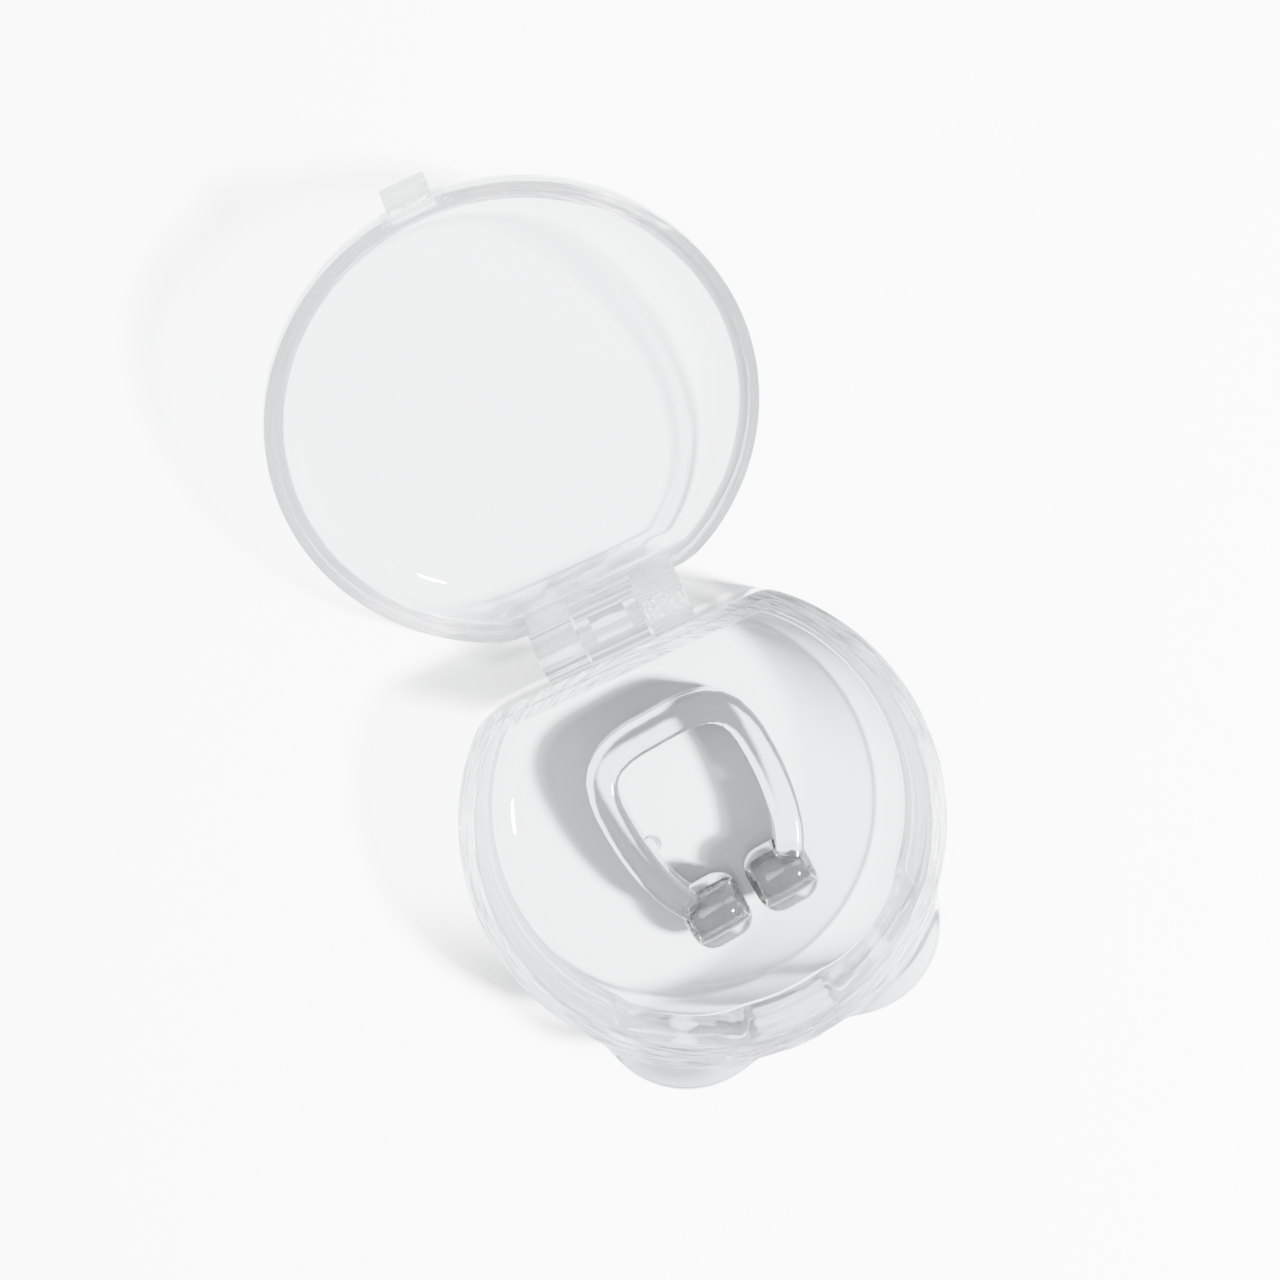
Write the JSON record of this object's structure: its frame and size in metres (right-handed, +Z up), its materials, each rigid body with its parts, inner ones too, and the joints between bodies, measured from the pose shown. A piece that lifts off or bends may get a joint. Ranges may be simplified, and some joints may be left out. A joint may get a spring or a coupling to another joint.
{
  "type": "nose clip case",
  "caption": "Round flip-top case of clear plastic, shown open, with a hinged dish lid and a U-shaped silicone magnetic nose clip lying in its tray.",
  "frame": {"origin": "centre of the base's round wall, on the flat underside that the case stands on", "axes": "+Z up, +Y from the centre of the base towards the hinge, +X along the hinge axis"},
  "size_m": [0.0376, 0.0705, 0.0234],
  "materials": {
    "base_plastic": "water-clear moulded polystyrene, polished",
    "lid_plastic": "water-clear moulded polystyrene, polished",
    "clip_silicone": "clear silicone, smooth",
    "magnet_left_nickel": "bright nickel plate",
    "magnet_right_nickel": "bright nickel plate"
  },
  "bodies": {
    "base": {"case_base": "base_plastic"},
    "lid": {"case_lid": "lid_plastic"},
    "clip": {"nose_clip": "clip_silicone", "magnet_left": "magnet_left_nickel", "magnet_right": "magnet_right_nickel"}
  },
  "joints": [
    {"name": "lid_hinge", "type": "hinge", "parent": "base", "child": "lid", "pos_m": [0, 0.01635, 0.0082], "axis": [1, 0, 0], "range_deg": [0, 151]},
    {"name": "clip_lift", "type": "slide", "parent": "base", "child": "clip", "axis": [0, 0, 1], "range_m": [0, 0.032]}
  ]
}
